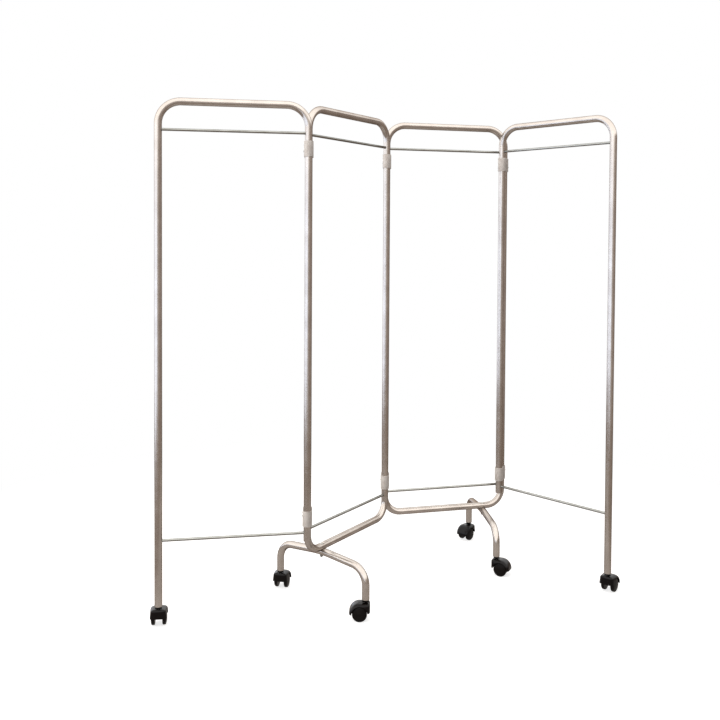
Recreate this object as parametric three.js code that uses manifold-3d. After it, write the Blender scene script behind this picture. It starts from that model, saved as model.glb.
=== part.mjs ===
// Ward privacy screen on wheels: four tube leaves joined by double-sleeve hinges.
// The outer leaves stand on a caster each, and each inner leaf stands on a foot
// arch with two casters. Millimetres, +Z up, floor at zero, +X from the first outer
// leg to the last one. The origin is under the middle of the whole screen.
import * as THREE from 'three';
import { mergeVertices } from 'three/addons/utils/BufferGeometryUtils.js';
import Module from 'manifold-3d';

const wasm = await Module();
wasm.setup();

// Leaf frames
const screenHeight = 1710;
const legSpacing = 483;
const tubeDiameter = 25;
const tubeWall = 1.5;
const topBendRadius = 72;
const lowerBendRadius = 62;
const lowerBarHeight = 200;
const innerLegEndHeight = 255;

// Curtain rods, pushed into holes in the inner side of the legs
const rodDiameter = 8;
const topRodDrop = 103;
const bottomRodHeight = 282;
const rodInsertion = 8;

// Hinges: a moulded piece with two barrels, one leg turning in each
const hingeSpacing = 35;
const barrelDiameter = 32;
const barrelLength = 52;
const barrelChamfer = 1.5;
const hingeWebWidth = 15;
const topHingeDrop = 154;
const lowerHingeHeight = 330;

// Lower frames of the inner leaves plug into the upper ones inside the lower hinge
const spigotLength = 34;
const spigotWall = 1.5;
const swageLength = 6;
const swageBite = 0.8;

// Foot arches: each half falls from a gentle crown, and one bolt goes through it
const archSpan = 395;
const archBendRadius = 60;
const archCrownRadius = 500;
const archFall = 17;
const archOffset = 80;

// The bar is pressed in where it lies on the arch, and dished under the bolt's head
const saddleSpacing = 17;
const boltPocketDepth = 5;
const boltPocketGap = 1.7;
const boltDiameter = 6;
const boltHeadDiameter = 13;
const boltHeadHeight = 4.5;
const nutAcrossCorners = 11.5;
const nutHeight = 5;
const boltEndLength = 3;

// Twin-wheel casters
const wheelRadius = 25;
const wheelTreadStart = 12.2;
const wheelTreadWidth = 10.5;
const wheelFaceRadius = 22;
const wheelEdgeDepth = 2.2;
const wheelDomeHeight = 1.3;
const casterTrail = 20;
const casterRise = 43.4;
const webHalfWidth = 11.5;
const webBottomDrop = 8;
const webRadius = 21.5;
const hoodWall = 8.2;
const hoodEdge = 1.4;
const hoodHalfWidth = 27;
const hoodShoulder = 1.6;
const hoodShoulderHalfWidth = 22.5;
const hoodCrownHalfWidth = 14;
const hoodCornerRadius = 8;
const pocketRadius = 12;
const axleRadius = 3.5;
const axleEndInset = 6;
const stemRadius = 4.2;
const stemCollarRadius = 7;
const stemCollarHeight = 2;
const stemSeatDepth = 15;
const stemLength = 24;
const insertNeckRadius = 9;
const insertNeckHeight = 8;
const insertLength = 27;

// Clearances
const seatGap = 0.3;
const runningGap = 0.3;
const wheelGap = 1.8;
const cutOverrun = 5;

// Leaf headings and hinge directions in plan, in degrees from +X
const leafHeadings = { a: -1, b: 45, c: 3, d: -56.5 };
const hingeHeadings = { ab: 82, bc: 76, cd: -124.5 };
const archTurns = { b: -5.2, c: -5.8 };
const casterHeadings = {
  a: 87, b_front: 168, b_rear: 68, c_front: -36.7, c_rear: 218, d: 40,
};

// Facets: sides of round sections and steps along a bend
const tubeSides = 10;
const rodSides = 8;
const bendSteps = 4;
const barrelSides = 12;
const wheelSides = 20;
const hoodSides = 20;
const smallSides = 8;
const hexSides = 6;

// Sizes that follow from those above
const fullTurn = 2 * Math.PI;
const quarterTurn = Math.PI / 2;
const tubeRadius = tubeDiameter / 2;
const rodRadius = rodDiameter / 2;
const barrelRadius = barrelDiameter / 2;
const boltRadius = boltDiameter / 2;
const boreRadius = tubeRadius - tubeWall;
const topBarHeight = screenHeight - tubeRadius;
const topRodHeight = screenHeight - topRodDrop;
const topHingeHeight = screenHeight - topHingeDrop;
const legEndHeight = wheelRadius + casterRise;
const archCrownHeight = lowerBarHeight - saddleSpacing;

// A polygon's flat lies nearer its centre than its corners by this share
const flatShare = (sides) => Math.cos(Math.PI / sides);
const tubeBoreFlat = boreRadius * flatShare(tubeSides);
const aroundFlats = (radius, sides) => radius / flatShare(sides);

// Finishes
const finish = (color, roughness, metalness) =>
  new THREE.MeshStandardMaterial({ color, roughness, metalness });
const silverPaint = finish(0xb9b4ae, 0.38, 0.45);
const brightChrome = finish(0xd6d6d4, 0.12, 1);
const greyPlastic = finish(0xb5aaa1, 0.5, 0);
const blackNylon = finish(0x17151a, 0.42, 0);
const blackTyre = finish(0x141214, 0.55, 0);
const zincSteel = finish(0xa7a8a6, 0.35, 0.9);
const darkPlastic = finish(0x1d1b1d, 0.5, 0);

const radians = (degrees) => (degrees * Math.PI) / 180;
const planVector = (heading, length) =>
  new THREE.Vector3(Math.cos(radians(heading)), Math.sin(radians(heading)), 0)
    .multiplyScalar(length);

// Solids: weld a geometry, turn its faces out, join and cut
const weldDistance = 1e-4;
const angleSlack = 1e-6;

function signedVolume(geometry) {
  const corners = [new THREE.Vector3(), new THREE.Vector3(), new THREE.Vector3()];
  const places = geometry.attributes.position;
  const index = geometry.index;
  let volume = 0;
  for (let i = 0; i < index.count; i += 3) {
    corners.forEach((corner, k) => corner.fromBufferAttribute(places, index.getX(i + k)));
    volume += corners[0].dot(corners[1].clone().cross(corners[2])) / 6;
  }
  return volume;
}

function weld(geometry) {
  const bare = geometry.clone();
  bare.deleteAttribute('normal');
  bare.deleteAttribute('uv');
  const welded = mergeVertices(bare, weldDistance);
  const kept = [];
  const order = welded.index.array;
  for (let i = 0; i < order.length; i += 3) {
    const [a, b, c] = [order[i], order[i + 1], order[i + 2]];
    if (a !== b && b !== c && c !== a) kept.push(a, b, c);
  }
  welded.setIndex(kept);
  if (signedVolume(welded) < 0) welded.setIndex(kept.reverse());
  return welded;
}

function solid(geometry) {
  const welded = weld(geometry);
  const vertProperties = new Float32Array(welded.attributes.position.array);
  const triVerts = new Uint32Array(welded.index.array);
  return new wasm.Manifold(new wasm.Mesh({ numProp: 3, vertProperties, triVerts }));
}

function skin(body) {
  const { vertProperties, triVerts } = body.getMesh();
  const geometry = new THREE.BufferGeometry();
  geometry.setAttribute('position', new THREE.Float32BufferAttribute(vertProperties, 3));
  geometry.setIndex(Array.from(triVerts));
  return geometry;
}

const cut = (body, ...tools) => tools.reduce((rest, tool) => rest.subtract(tool), body);
const join = (...bodies) => bodies.reduce((whole, body) => whole.add(body));

// Shapes used by more than one piece
function polygon(radius, sides) {
  const corner = (i) => new THREE.Vector2(
    radius * Math.cos(quarterTurn + (i * fullTurn) / sides),
    radius * Math.sin(quarterTurn + (i * fullTurn) / sides),
  );
  return Array.from({ length: sides }, (unused, i) => corner(i));
}

// Centre line of a bent tube: straight runs take one step, and a bend takes more
// the further it turns
class TubeRoute extends THREE.Curve {
  constructor(corners, bendRadii) {
    super();
    const last = corners.length - 1;
    this.stations = [this.station(corners[0], corners[1].clone().sub(corners[0]))];
    for (let i = 1; i < last; i += 1) {
      const into = corners[i].clone().sub(corners[i - 1]).normalize();
      const out = corners[i + 1].clone().sub(corners[i]).normalize();
      const turn = into.angleTo(out);
      const bendRadius = bendRadii[i - 1];
      const steps = Math.ceil((bendSteps * turn) / quarterTurn - angleSlack);
      const start = corners[i].clone().addScaledVector(into, -bendRadius * Math.tan(turn / 2));
      const inward = out.clone().addScaledVector(into, -out.dot(into)).normalize();
      for (let step = 0; step <= steps; step += 1) {
        const angle = (turn * step) / steps;
        const place = start.clone()
          .addScaledVector(into, bendRadius * Math.sin(angle))
          .addScaledVector(inward, bendRadius * (1 - Math.cos(angle)));
        const along = into.clone().multiplyScalar(Math.cos(angle))
          .addScaledVector(inward, Math.sin(angle));
        this.stations.push(this.station(place, along));
      }
    }
    this.stations.push(this.station(corners[last], corners[last].clone().sub(corners[last - 1])));
  }

  station(place, along) {
    return { place: place.clone(), along: along.clone().normalize() };
  }

  get steps() {
    return this.stations.length - 1;
  }

  getPointAt(share, target = new THREE.Vector3()) {
    return target.copy(this.stations[Math.round(share * this.steps)].place);
  }

  getTangentAt(share, target = new THREE.Vector3()) {
    return target.copy(this.stations[Math.round(share * this.steps)].along);
  }
}

function bentBar(corners, bendRadii, radius) {
  const route = new TubeRoute(corners, bendRadii);
  const section = new THREE.Shape(polygon(radius, tubeSides));
  return solid(new THREE.ExtrudeGeometry(section, { steps: route.steps, extrudePath: route }));
}

// A dent is given the wall to leave: nothing for the outside, the tube's for the bore
function bentTube(corners, bendRadii, dents = []) {
  const outside = bentBar(corners, bendRadii, tubeRadius);
  const bore = bentBar(corners, bendRadii, boreRadius);
  const dented = (body, wall) => cut(body, ...dents.map((dent) => dent(wall)));
  return cut(dented(outside, 0), dented(bore, tubeWall));
}

function turned(profile, sides) {
  const points = profile.map(([radius, height]) => new THREE.Vector2(radius, height));
  return new THREE.LatheGeometry(points, sides, Math.PI / sides);
}

function uprightTurned(profile, sides) {
  return turned(profile, sides).rotateX(quarterTurn);
}

function uprightPin(radius, bottom, top, sides) {
  const height = top - bottom;
  return new THREE.CylinderGeometry(radius, radius, height, sides)
    .rotateX(quarterTurn)
    .translate(0, 0, bottom + height / 2);
}

function crossPin(radius, length, sides) {
  return new THREE.CylinderGeometry(radius, radius, length, sides).rotateZ(quarterTurn);
}

function piece(name, geometry, material) {
  const mesh = new THREE.Mesh(weld(geometry), material);
  mesh.name = name;
  return mesh;
}

// Leaves, drawn along +X from their first leg
const at = (x, z) => new THREE.Vector3(x, 0, z);

function rodHole(legX, side, height) {
  const radius = aroundFlats(rodRadius + seatGap, rodSides);
  const hole = crossPin(radius, tubeDiameter, rodSides);
  return solid(hole.translate(legX + side * tubeRadius, 0, height));
}

function drilledLegs(frame, height) {
  return cut(frame, rodHole(0, 1, height), rodHole(legSpacing, -1, height));
}

function upperFrame(firstLegEnd, lastLegEnd) {
  return bentTube([
    at(0, firstLegEnd), at(0, topBarHeight),
    at(legSpacing, topBarHeight), at(legSpacing, lastLegEnd),
  ], [topBendRadius, topBendRadius]);
}

function outerFrame(firstLegEnd, lastLegEnd) {
  const frame = upperFrame(firstLegEnd, lastLegEnd);
  return skin(drilledLegs(drilledLegs(frame, topRodHeight), bottomRodHeight));
}

function innerUpperFrame() {
  const end = lowerHingeHeight + seatGap;
  return skin(drilledLegs(upperFrame(end, end), topRodHeight));
}

// The end of the lower frame is drawn in to a spigot that fits the leg above it
function spigot(legX) {
  const outer = tubeBoreFlat - seatGap;
  const bore = outer - spigotWall;
  const swage = aroundFlats(tubeBoreFlat + swageBite, tubeSides);
  const top = lowerHingeHeight + spigotLength;
  const bottom = lowerHingeHeight - swageLength;
  const ring = uprightTurned([
    [bore, bottom], [swage, bottom], [swage, lowerHingeHeight], [outer, lowerHingeHeight],
    [outer, top], [bore, top], [bore, bottom],
  ], tubeSides);
  return solid(ring.translate(legX, 0, 0));
}

function boltHole(x) {
  const radius = aroundFlats(boltRadius + seatGap, smallSides);
  const hole = uprightPin(radius, archCrownHeight - tubeDiameter,
    lowerBarHeight + tubeDiameter, smallSides);
  return solid(hole.translate(x, 0, 0));
}

// The saddle the bar is pressed into, lying along the arch
function saddleDent(boltX, archTurn, wall) {
  const radius = aroundFlats(tubeRadius + seatGap + wall, barrelSides);
  const pin = crossPin(radius, 2 * tubeDiameter, barrelSides)
    .rotateZ(quarterTurn + radians(archTurn));
  return solid(pin.translate(boltX, 0, archCrownHeight));
}

function boltPocket(boltX, wall) {
  const radius = aroundFlats(boltHeadDiameter / 2 + boltPocketGap + wall, smallSides);
  const floor = lowerBarHeight + tubeRadius - boltPocketDepth - wall;
  const pin = uprightPin(radius, floor, lowerBarHeight + tubeDiameter, smallSides);
  return solid(pin.translate(boltX, 0, 0));
}

function innerLowerFrame(boltX, archTurn) {
  const frame = bentTube([
    at(0, lowerHingeHeight), at(0, lowerBarHeight),
    at(legSpacing, lowerBarHeight), at(legSpacing, lowerHingeHeight),
  ], [lowerBendRadius, lowerBendRadius], [
    (wall) => saddleDent(boltX, archTurn, wall),
    (wall) => boltPocket(boltX, wall),
  ]);
  const whole = join(frame, spigot(0), spigot(legSpacing));
  return skin(cut(drilledLegs(whole, bottomRodHeight), boltHole(boltX)));
}

function curtainRod(height) {
  const length = legSpacing - tubeDiameter + 2 * rodInsertion;
  return crossPin(rodRadius, length, rodSides).translate(legSpacing / 2, 0, height);
}

// The crown bend lies under the point where the two falling halves would meet
function footArch() {
  const slope = Math.atan2(archFall, archSpan / 2);
  const apex = archCrownHeight + archCrownRadius * Math.tan(slope) * Math.sin(slope);
  const arch = bentTube([
    at(-archSpan / 2, legEndHeight), at(-archSpan / 2, apex - archFall), at(0, apex),
    at(archSpan / 2, apex - archFall), at(archSpan / 2, legEndHeight),
  ], [archBendRadius, archCrownRadius, archBendRadius]);
  return skin(cut(arch, boltHole(0)));
}

// One bolt with its nut: head sunk in the bar, shank through both tubes, nut below
function footBolt() {
  const headSeat = lowerBarHeight + tubeRadius - boltPocketDepth + seatGap;
  const nutSeat = archCrownHeight - tubeRadius - seatGap;
  const crown = headSeat + boltHeadHeight;
  const head = uprightTurned([
    [0, headSeat], [boltHeadDiameter / 2, headSeat],
    [boltHeadDiameter / 2, headSeat + boltHeadHeight / 3],
    [boltHeadDiameter / 4, crown], [0, crown],
  ], smallSides);
  const shankBottom = nutSeat - nutHeight - boltEndLength;
  const shank = uprightPin(boltRadius, shankBottom, headSeat + boltHeadHeight / 2, smallSides);
  const nut = uprightPin(nutAcrossCorners / 2, nutSeat - nutHeight, nutSeat, hexSides);
  return skin(join(solid(head), solid(shank), solid(nut)));
}

// Hinge: two chamfered barrels joined by a web, bored for the two legs
function hingeSleeve() {
  const bottom = -barrelLength / 2;
  const top = barrelLength / 2;
  const inner = barrelRadius - barrelChamfer;
  const barrelProfile = [
    [0, bottom], [inner, bottom], [barrelRadius, bottom + barrelChamfer],
    [barrelRadius, top - barrelChamfer], [inner, top], [0, top],
  ];
  const boreRadius = aroundFlats(tubeRadius + runningGap, barrelSides);
  const barrel = (x) => solid(uprightTurned(barrelProfile, barrelSides).translate(x, 0, 0));
  const bore = (x) => solid(
    uprightPin(boreRadius, bottom - cutOverrun, top + cutOverrun, barrelSides).translate(x, 0, 0),
  );
  const web = new THREE.BoxGeometry(hingeSpacing, hingeWebWidth, barrelLength - 2 * barrelChamfer);
  const half = hingeSpacing / 2;
  return skin(cut(join(barrel(-half), barrel(half), solid(web)), bore(-half), bore(half)));
}

// Caster, stem axis upright through the origin, wheels trailing towards +X
const neckBottom = legEndHeight - seatGap - insertNeckHeight;
const collarTop = neckBottom - seatGap;
const pocketFloor = collarTop - stemCollarHeight - seatGap;
const hoodChamber = wheelRadius + wheelGap;
const hoodRadius = hoodChamber + hoodWall;

// The tread's flats touch the floor, so its corners lie a little further out
function casterWheel(side) {
  const rim = aroundFlats(wheelRadius, wheelSides);
  const face = aroundFlats(wheelFaceRadius, wheelSides);
  const treadEnd = wheelTreadStart + wheelTreadWidth;
  const faceStart = treadEnd + wheelEdgeDepth;
  const crown = faceStart + wheelDomeHeight;
  const bore = aroundFlats(axleRadius + runningGap, wheelSides);
  const boreEnd = crown - axleEndInset + runningGap;
  const profile = [
    [0, boreEnd], [bore, boreEnd], [bore, wheelTreadStart], [rim, wheelTreadStart],
    [rim, treadEnd], [face, faceStart], [0, crown],
  ];
  return turned(profile, wheelSides).scale(1, side, 1);
}

// The hood is round over the wheels, and its front wall stands upright by the stem.
// An inset draws the whole outline in, which leaves a small round for the front corner.
function hoodRound(inset) {
  const edge = hoodChamber + hoodEdge - inset;
  const shoulder = hoodRadius - hoodShoulder - inset;
  const crown = hoodRadius - inset;
  return solid(turned([
    [0, -hoodHalfWidth], [edge, -hoodHalfWidth], [shoulder, -hoodShoulderHalfWidth],
    [crown, -hoodCrownHalfWidth], [crown, hoodCrownHalfWidth],
    [shoulder, hoodShoulderHalfWidth], [edge, hoodHalfWidth], [0, hoodHalfWidth],
  ], hoodSides));
}

function wheelChamber(side) {
  const width = hoodHalfWidth - webHalfWidth + cutOverrun;
  const room = crossPin(hoodChamber, width, hoodSides).rotateZ(quarterTurn);
  return solid(room.translate(0, side * (webHalfWidth + width / 2), 0));
}

function casterHood() {
  const inset = hoodRadius - hoodCornerRadius;
  const corner = hoodRound(inset).translate([-inset, 0, inset]);
  const whole = wasm.Manifold.hull([hoodRound(0), corner]);
  return cut(whole, wheelChamber(1), wheelChamber(-1));
}

function belowLevel(height, reach) {
  const block = new THREE.BoxGeometry(2 * reach, 2 * reach, reach);
  return solid(block.translate(0, 0, height - reach / 2));
}

function casterHousing() {
  const atAxle = [casterTrail, 0, wheelRadius];
  const hood = cut(casterHood(), belowLevel(0, 2 * hoodRadius)).translate(atAxle);
  const web = crossPin(webRadius, 2 * webHalfWidth, hoodSides).rotateZ(quarterTurn);
  const webBody = cut(solid(web), belowLevel(-webBottomDrop, 2 * hoodRadius)).translate(atAxle);
  const pocket = solid(uprightPin(pocketRadius, pocketFloor, legEndHeight + hoodRadius, hoodSides));
  const stemHole = solid(uprightPin(aroundFlats(stemRadius + seatGap, smallSides),
    pocketFloor - stemSeatDepth - seatGap, pocketFloor + cutOverrun, smallSides));
  const axleHole = solid(crossPin(aroundFlats(axleRadius + seatGap, smallSides),
    2 * (webHalfWidth + cutOverrun), smallSides).rotateZ(quarterTurn)).translate(atAxle);
  return skin(cut(join(hood, webBody), pocket, stemHole, axleHole));
}

function casterStem() {
  return uprightTurned([
    [0, pocketFloor - stemSeatDepth], [stemRadius, pocketFloor - stemSeatDepth],
    [stemRadius, pocketFloor + seatGap], [stemCollarRadius, pocketFloor + seatGap],
    [stemCollarRadius, collarTop], [stemRadius, collarTop],
    [stemRadius, legEndHeight + stemLength], [0, legEndHeight + stemLength],
  ], smallSides);
}

// A black plug in the tube end, its neck tapering from the tube down to the collar
function casterInsert() {
  const bore = aroundFlats(stemRadius + runningGap, tubeSides);
  const shoulder = legEndHeight - seatGap;
  const top = legEndHeight + insertLength;
  const plug = tubeBoreFlat - seatGap;
  return uprightTurned([
    [bore, neckBottom], [insertNeckRadius, neckBottom], [tubeRadius, shoulder],
    [plug, shoulder], [plug, top], [bore, top], [bore, neckBottom],
  ], tubeSides);
}

function casterAxle() {
  const crown = wheelTreadStart + wheelTreadWidth + wheelEdgeDepth + wheelDomeHeight;
  const length = 2 * (crown - axleEndInset);
  return crossPin(axleRadius, length, smallSides).rotateZ(quarterTurn);
}

// Placing: a group for each leaf, hinge, arch and caster
function placed(place, heading, ...children) {
  const group = new THREE.Group();
  group.position.copy(place);
  group.rotation.z = radians(heading);
  children.forEach((child) => group.add(child));
  return group;
}

function caster(name, place, heading) {
  const wheelPlace = new THREE.Vector3(casterTrail, 0, wheelRadius);
  const wheels = { left: 1, right: -1 };
  const parts = Object.entries(wheels).map(([side, sign]) => {
    const wheel = piece(`caster_${name}_${side}_wheel`, casterWheel(sign), blackTyre);
    wheel.position.copy(wheelPlace);
    return wheel;
  });
  const axle = piece(`caster_${name}_axle`, casterAxle(), zincSteel);
  axle.position.copy(wheelPlace);
  parts.push(
    axle,
    piece(`caster_${name}_housing`, casterHousing(), blackNylon),
    piece(`caster_${name}_stem`, casterStem(), zincSteel),
    piece(`caster_${name}_insert`, casterInsert(), darkPlastic),
  );
  return placed(place, heading, ...parts);
}

function rods(leaf) {
  return [
    piece(`leaf_${leaf}_top_rod`, curtainRod(topRodHeight), brightChrome),
    piece(`leaf_${leaf}_bottom_rod`, curtainRod(bottomRodHeight), brightChrome),
  ];
}

function hinge(name, place, heading) {
  const heights = { top: topHingeHeight, bottom: lowerHingeHeight };
  const sleeves = Object.entries(heights).map(([level, height]) => {
    const sleeve = piece(`hinge_${name}_${level}_sleeve`, hingeSleeve(), greyPlastic);
    sleeve.position.z = height;
    return sleeve;
  });
  return placed(place, heading, ...sleeves);
}

// An inner leaf, its foot arch crossing under the bar, and the arch's two casters
function innerLeaf(leaf, place, boltX) {
  const heading = leafHeadings[leaf];
  const boltPlace = place.clone().add(planVector(heading, boltX));
  const archHeading = heading + 90 + archTurns[leaf];
  const reach = planVector(archHeading, archSpan / 2);
  return [
    placed(place, heading,
      piece(`leaf_${leaf}_upper_frame`, innerUpperFrame(), silverPaint),
      piece(`leaf_${leaf}_lower_frame`, innerLowerFrame(boltX, archTurns[leaf]), silverPaint),
      ...rods(leaf)),
    placed(boltPlace, archHeading,
      piece(`leaf_${leaf}_foot_arch`, footArch(), silverPaint),
      piece(`leaf_${leaf}_foot_bolt`, footBolt(), zincSteel)),
    caster(`${leaf}_rear`, boltPlace.clone().add(reach), casterHeadings[`${leaf}_rear`]),
    caster(`${leaf}_front`, boltPlace.clone().sub(reach), casterHeadings[`${leaf}_front`]),
  ];
}

// The plan: each leaf starts one hinge spacing from where the last one ended
const leafEnd = (start, leaf) => start.clone().add(planVector(leafHeadings[leaf], legSpacing));
const acrossHinge = (start, name) =>
  start.clone().add(planVector(hingeHeadings[name], hingeSpacing));
const midHinge = (start, name) =>
  start.clone().add(planVector(hingeHeadings[name], hingeSpacing / 2));

const startA = new THREE.Vector3();
const endA = leafEnd(startA, 'a');
const startB = acrossHinge(endA, 'ab');
const endB = leafEnd(startB, 'b');
const startC = acrossHinge(endB, 'bc');
const endC = leafEnd(startC, 'c');
const startD = acrossHinge(endC, 'cd');
const endD = leafEnd(startD, 'd');

const screen = new THREE.Group();
screen.add(
  placed(startA, leafHeadings.a,
    piece('leaf_a_frame', outerFrame(legEndHeight, innerLegEndHeight), silverPaint),
    ...rods('a')),
  caster('a', startA, casterHeadings.a),
  hinge('ab', midHinge(endA, 'ab'), hingeHeadings.ab),
  ...innerLeaf('b', startB, archOffset),
  hinge('bc', midHinge(endB, 'bc'), hingeHeadings.bc),
  ...innerLeaf('c', startC, legSpacing - archOffset),
  hinge('cd', midHinge(endC, 'cd'), hingeHeadings.cd),
  placed(startD, leafHeadings.d,
    piece('leaf_d_frame', outerFrame(innerLegEndHeight, legEndHeight), silverPaint),
    ...rods('d')),
  caster('d', endD, casterHeadings.d),
);

// The screen is moved so that the middle of its box stands over the origin
screen.updateMatrixWorld(true);
const middle = new THREE.Box3().setFromObject(screen, true).getCenter(new THREE.Vector3());
screen.position.set(-middle.x, -middle.y, 0);

export default screen;
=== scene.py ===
"""Looks of a folding ward screen: four tube leaves, double-sleeve hinges, twin-wheel casters.

Metres, +Z up, floor at zero, +X from the first outer leg to the last one.
"""
import math

import bmesh
import bpy
from mathutils import Matrix, Vector


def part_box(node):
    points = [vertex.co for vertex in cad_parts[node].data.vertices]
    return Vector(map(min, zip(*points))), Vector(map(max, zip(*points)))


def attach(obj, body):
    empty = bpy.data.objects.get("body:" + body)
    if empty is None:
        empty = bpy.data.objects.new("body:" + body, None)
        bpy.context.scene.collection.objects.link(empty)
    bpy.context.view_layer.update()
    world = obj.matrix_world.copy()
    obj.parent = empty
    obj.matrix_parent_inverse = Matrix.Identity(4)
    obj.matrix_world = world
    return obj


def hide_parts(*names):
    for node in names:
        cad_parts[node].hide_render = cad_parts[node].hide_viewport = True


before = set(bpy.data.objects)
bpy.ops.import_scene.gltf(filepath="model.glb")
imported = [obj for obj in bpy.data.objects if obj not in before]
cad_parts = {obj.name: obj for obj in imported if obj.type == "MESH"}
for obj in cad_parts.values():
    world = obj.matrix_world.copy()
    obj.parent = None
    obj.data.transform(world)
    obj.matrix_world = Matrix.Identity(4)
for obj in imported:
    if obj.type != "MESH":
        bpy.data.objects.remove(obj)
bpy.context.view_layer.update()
MM = 0.001

# Leaf frames, with the CAD's sizes but for the rods, which look thicker in the photo
HEIGHT = 1710 * MM
LEG_SPACING = 483 * MM
TUBE_RADIUS = 12.5 * MM
TUBE_WALL = 1.5 * MM
TOP_BEND = 72 * MM
LOWER_BEND = 62 * MM
LOWER_BAR = 200 * MM
INNER_LEG_END = 255 * MM
ROD_RADIUS = 4.6 * MM
ROD_HEIGHTS = {"top": 1607 * MM, "bottom": 282 * MM}
ROD_INSERTION = 8 * MM
ROD_CHAMFER = 0.6 * MM
ROD_HOLE_RADIUS = 4.9 * MM
ROD_HOLE_DEPTH = 17.5 * MM
SPIGOT_LENGTH = 34 * MM
SPIGOT_RADIUS = 10.5 * MM
SWAGE_LENGTH = 6 * MM
SWAGE_EDGE = 0.5 * MM

# Hinges
HINGE_SPACING = 35 * MM
BARREL_RADIUS = 16 * MM
BARREL_LENGTH = 52 * MM
WEB_WIDTH = 15 * MM
WEB_FILLET = 5 * MM
BORE_RADIUS = 12.8 * MM
BORE_MOUTH = 0.8 * MM
SLEEVE_EDGE = 1.2 * MM
HINGE_HEIGHTS = {"top": 1556 * MM, "bottom": 330 * MM}
SCREW_RISE = {"top": -8 * MM, "bottom": 9 * MM}
SCREW_RADIUS = 2.6 * MM
SCREW_SINK = 0.3 * MM

# Foot arches, each held by a bolt in a saddle that is pressed into the bar
ARCH_SPAN = 395 * MM
ARCH_BEND = 60 * MM
ARCH_CROWN_BEND = 500 * MM
ARCH_FALL = 17 * MM
ARCH_OFFSET = 80 * MM
ARCH_CROWN = LOWER_BAR - 17 * MM
SEAT_GAP = 0.3 * MM
SADDLE_REACH = 30 * MM
PRESSED_EDGE = 0.8 * MM

# The dish under the bolt's head, and how its cutter flares above it. The cutter is turned by
# 2 degrees, because its facets would else lie on the bar's own and leave a gap in the cut
DISH_DEPTH = 5 * MM
DISH_RADIUS = 8.2 * MM
DISH_FLARE = 5 * MM
DISH_RISE = 8 * MM
DISH_TURN = 2

# Foot bolt and nut. The spans are the heights that the cutters of its holes cover
BOLT_RADIUS = 3 * MM
BOLT_HEAD_RADIUS = 6.5 * MM
BOLT_HEAD_HEIGHT = 4.5 * MM
BOLT_HEAD_EDGE = 1.2 * MM
BOLT_TAIL = 8 * MM
BOLT_HOLE_RADIUS = 3.3 * MM
BAR_HOLE_SPAN = (120 * MM, 250 * MM)
ARCH_HOLE_SPAN = (140 * MM, 220 * MM)
THREAD_PITCH = 1 * MM
THREAD_TURNS = 8
THREAD_TIP_SHARE = 0.75
THREAD_ROOT_SHARE = 0.86
NUT_ACROSS_CORNERS = 11.5 * MM
NUT_HEIGHT = 5 * MM
NUT_CHAMFER = 0.6 * MM
NUT_FACE_SHARE = 0.9
NUT_PLAY = 0.05 * MM

# Casters, each with its stem upright through the origin and its wheels towards +X
WHEEL_RADIUS = 25 * MM
TRAIL = 20 * MM
TUBE_END = 68.4 * MM
STEM_RADIUS = 4.2 * MM
STEM_DEPTH = 15 * MM
STEM_RISE = 24 * MM
STEM_CHAMFER = 1 * MM
COLLAR_RADIUS = 7 * MM
COLLAR_EDGE_RADIUS = 6.6 * MM
COLLAR_EDGE = 0.5 * MM
COLLAR_HEIGHT = 2 * MM
INSERT_RISE = 27 * MM
INSERT_PLAY = 0.4 * MM
NECK_HEIGHT = 8 * MM
HOOD_RADIUS = 35 * MM
HOOD_EDGE_RADIUS = 27.4 * MM
HOOD_HALF_WIDTH = 26.8 * MM
HOOD_CROWN_HALF_WIDTH = 10 * MM
HOOD_CORNER_RADIUS = 8 * MM
HOOD_DRAFT_SHARE = 0.1
HOOD_EDGE = 0.5 * MM
HOOD_FRONT = -3 * MM
HOOD_FRONT_EDGE = 30 * MM
WHEEL_ROOM_RADIUS = 26.8 * MM
WEB_HALF_WIDTH = 11.5 * MM
WEB_RADIUS = 21.5 * MM
WEB_LOW = 19 * MM
WEB_FRONT = TRAIL - 7 * MM
POCKET_RADIUS = 12 * MM
POCKET_FLOOR = 57.5 * MM
ABOVE_HOOD = 100 * MM
AXLE_HOLE_RADIUS = 3.9 * MM
AXLE_HOLE_REACH = 20 * MM
AXLE_SPOT = Vector((TRAIL, 0, WHEEL_RADIUS))

# Plan headings in degrees from +X
LEAF_HEADINGS = {"a": -1, "b": 45, "c": 3, "d": -56.5}
HINGE_HEADINGS = {"ab": 82, "bc": 76, "cd": -124.5}
ARCH_TURNS = {"b": -5.2, "c": -5.8}
CASTER_HEADINGS = {
    "a": 87, "b_front": 168, "b_rear": 68, "c_front": -36.7, "c_rear": 218, "d": 40,
}

# Mesh work
OVERRUN = 1 * MM
MERGE_DISTANCE = 0.001 * MM
BAR_SIDES = 48
BEND_STEPS = 20
DOME_STEPS = 8
SHOULDER_STEPS = 10

# Sockets of a Mix node in its colour mode
COLOUR_A, COLOUR_B, MIXED_COLOUR = 6, 7, 2
WHITE = (1, 1, 1, 1)


# Node trees
def add_node(tree, kind, links=None, **settings):
    """Adds a node, sets its settings, then gives each named or numbered input a value or a link."""
    node = tree.nodes.new(kind)
    for name, value in settings.items():
        setattr(node, name, value)
    for socket, value in (links or {}).items():
        if isinstance(value, bpy.types.NodeSocket):
            tree.links.new(value, node.inputs[socket])
        else:
            node.inputs[socket].default_value = value
    return node


def srgb(code):
    """An sRGB hex colour as linear values."""
    channels = [int(code[i:i + 2], 16) / 255 for i in (1, 3, 5)]
    linear = [c / 12.92 if c <= 0.04045 else ((c + 0.055) / 1.055) ** 2.4 for c in channels]
    return (*linear, 1)


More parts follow.
